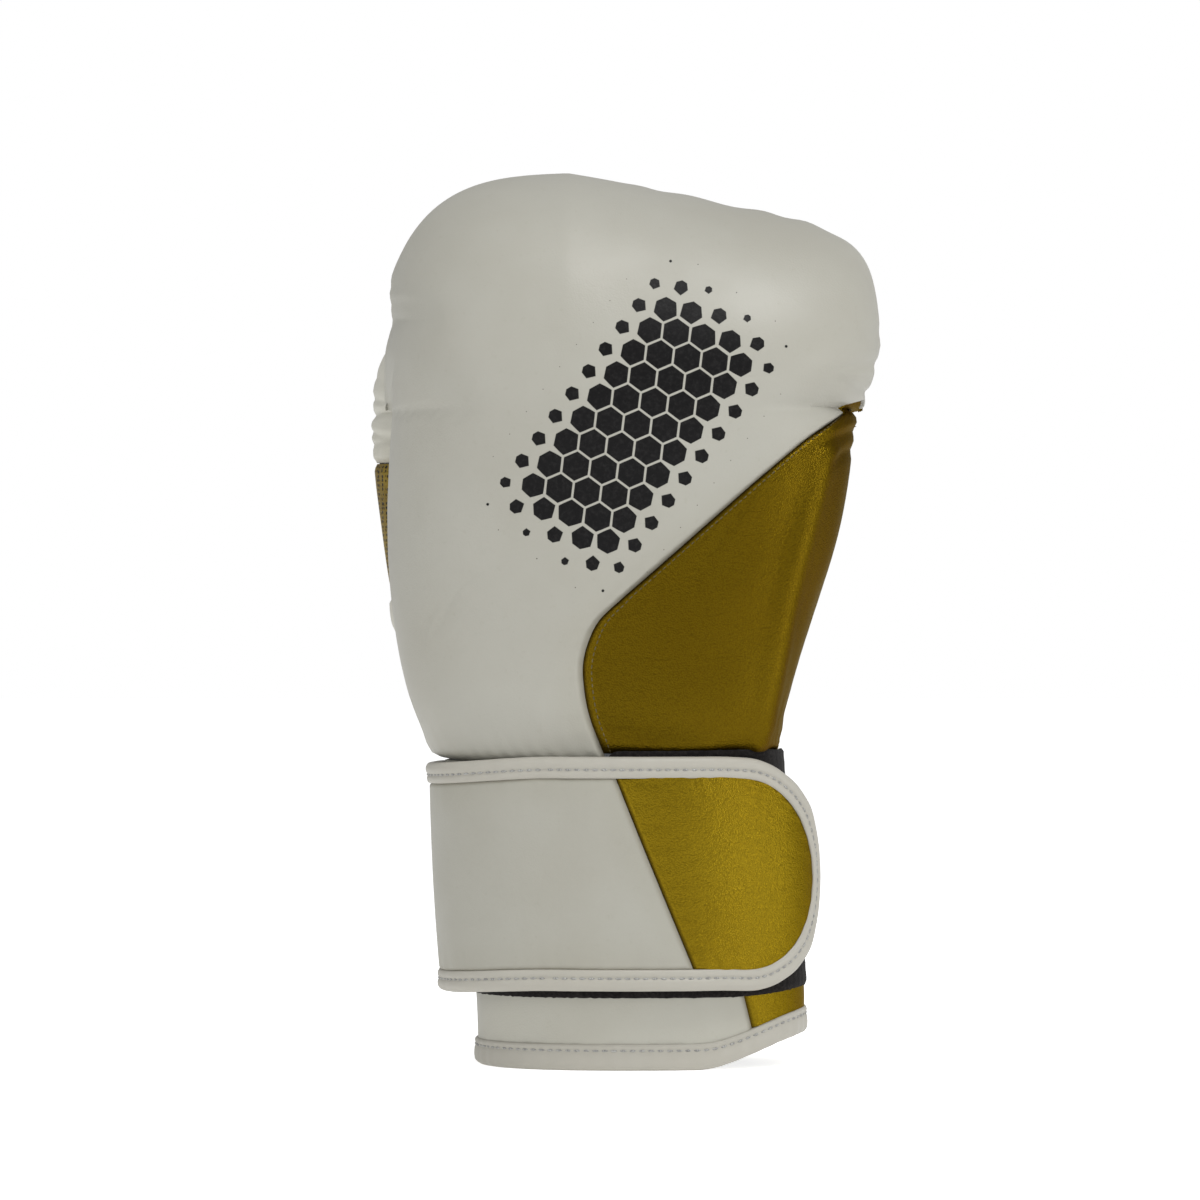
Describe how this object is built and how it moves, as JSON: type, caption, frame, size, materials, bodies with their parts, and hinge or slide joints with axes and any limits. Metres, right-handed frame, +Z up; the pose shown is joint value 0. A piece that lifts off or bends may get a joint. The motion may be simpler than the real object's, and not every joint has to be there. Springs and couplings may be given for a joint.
{
  "type": "boxing glove",
  "caption": "Upright right-hand boxing glove: padded mitten hand with curled fingers, separate thumb, tapered cuff and a wide hook-and-loop strap with a round end.",
  "frame": {"origin": "centre of the bounding box's footprint, on the plane the cuff's rim stands on", "axes": "+Z up the glove from the cuff to the knuckles, -Y out of the back of the hand, +X to the little-finger side"},
  "size_m": [0.1722, 0.1271, 0.2999],
  "materials": {
    "white_leather": "smooth, very fine grain",
    "gold_leather": "metallic satin, fine grain",
    "gold_mesh": "open woven mesh",
    "white_binding": "smooth folded tape",
    "black_loop": "matte brushed loop pile",
    "black_elastic": "ribbed elastic webbing",
    "black_hook": "fine hooks",
    "foam": "closed-cell foam, matte",
    "firm_foam": "dense foam, matte",
    "lining_cloth": "matte lining cloth"
  },
  "bodies": {
    "cuff_flap": {"cuff_flap_panel": "white_leather", "cuff_flap_pad": "foam", "cuff_flap_lining": "lining_cloth", "cuff_flap_binding": "white_binding"},
    "strap_palm": {"strap_elastic": "black_elastic", "strap_root_panel": "white_leather", "strap_root_core": "foam"},
    "strap_back": {"strap_white_panel": "white_leather", "strap_gold_wedge": "gold_leather", "strap_core_back": "foam", "strap_hook_back": "black_hook", "strap_binding_top": "white_binding", "strap_binding_bottom": "white_binding"},
    "strap_tip": {"strap_gold_end": "gold_leather", "strap_core_end": "foam", "strap_hook_end": "black_hook", "strap_binding_end": "white_binding"},
    "fingers": {"finger_lining": "lining_cloth", "finger_side_pad_little": "foam", "finger_side_pad_thumb": "foam", "finger_side_panel_little": "white_leather", "finger_side_panel_thumb": "white_leather", "finger_underside_pad": "foam", "finger_underside_panel": "white_leather", "knuckle_pad_inner": "foam", "knuckle_pad_outer": "firm_foam", "knuckle_panel": "white_leather"},
    "thumb": {"thumb_gold_panel": "gold_leather", "thumb_lining": "lining_cloth", "thumb_pad": "foam", "thumb_tip_panel": "white_leather"},
    "hand": {"back_pad": "foam", "back_panel": "white_leather", "cuff_binding": "white_binding", "cuff_gold_panel": "gold_leather", "cuff_lining": "lining_cloth", "cuff_pad_back": "foam", "cuff_pad_thumb": "foam", "cuff_panel": "white_leather", "gold_side_panel": "gold_leather", "grip_bar": "lining_cloth", "hand_lining": "lining_cloth", "loop_panel": "black_loop", "palm_gold_gusset": "gold_leather", "palm_pad": "foam", "palm_panel": "white_leather", "palm_vent_mesh": "gold_mesh", "side_pad_little": "foam", "side_pad_thumb": "foam", "slit_gusset": "black_elastic", "thenar_pad": "foam", "thenar_panel": "white_leather"}
  },
  "joints": [
    {"name": "cuff_flap_swing", "type": "hinge", "parent": "hand", "child": "cuff_flap", "pos_m": [0.0595, -0.0071, 0], "axis": [0, 0, -1], "range_deg": [0, 16.5]},
    {"name": "strap_root_swing", "type": "hinge", "parent": "cuff_flap", "child": "strap_palm", "pos_m": [0.01912, 0.0312, 0], "axis": [0, 0, -1], "range_deg": [0, 33]},
    {"name": "strap_open", "type": "hinge", "parent": "strap_palm", "child": "strap_back", "pos_m": [-0.06483, -0.02137, 0], "axis": [0, 0, -1], "range_deg": [0, 110]},
    {"name": "strap_tip_peel", "type": "hinge", "parent": "strap_back", "child": "strap_tip", "pos_m": [0.02885, -0.05882, 0], "axis": [0, 0, -1], "range_deg": [0, 60]},
    {"name": "finger_curl", "type": "hinge", "parent": "hand", "child": "fingers", "pos_m": [0, 0.0029, 0.22], "axis": [-1, 0, 0], "range_deg": [-4, 8], "stiffness_Nm_per_rad": 6},
    {"name": "thumb_flex", "type": "hinge", "parent": "hand", "child": "thumb", "pos_m": [-0.05, 0.0119, 0.134], "axis": [0, -1, 0], "range_deg": [0, 14], "stiffness_Nm_per_rad": 2}
  ],
  "couplings": [
    {"joint": "strap_root_swing", "follows": "strap_open", "ratio": 0.3},
    {"joint": "cuff_flap_swing", "follows": "strap_open", "ratio": 0.15}
  ]
}
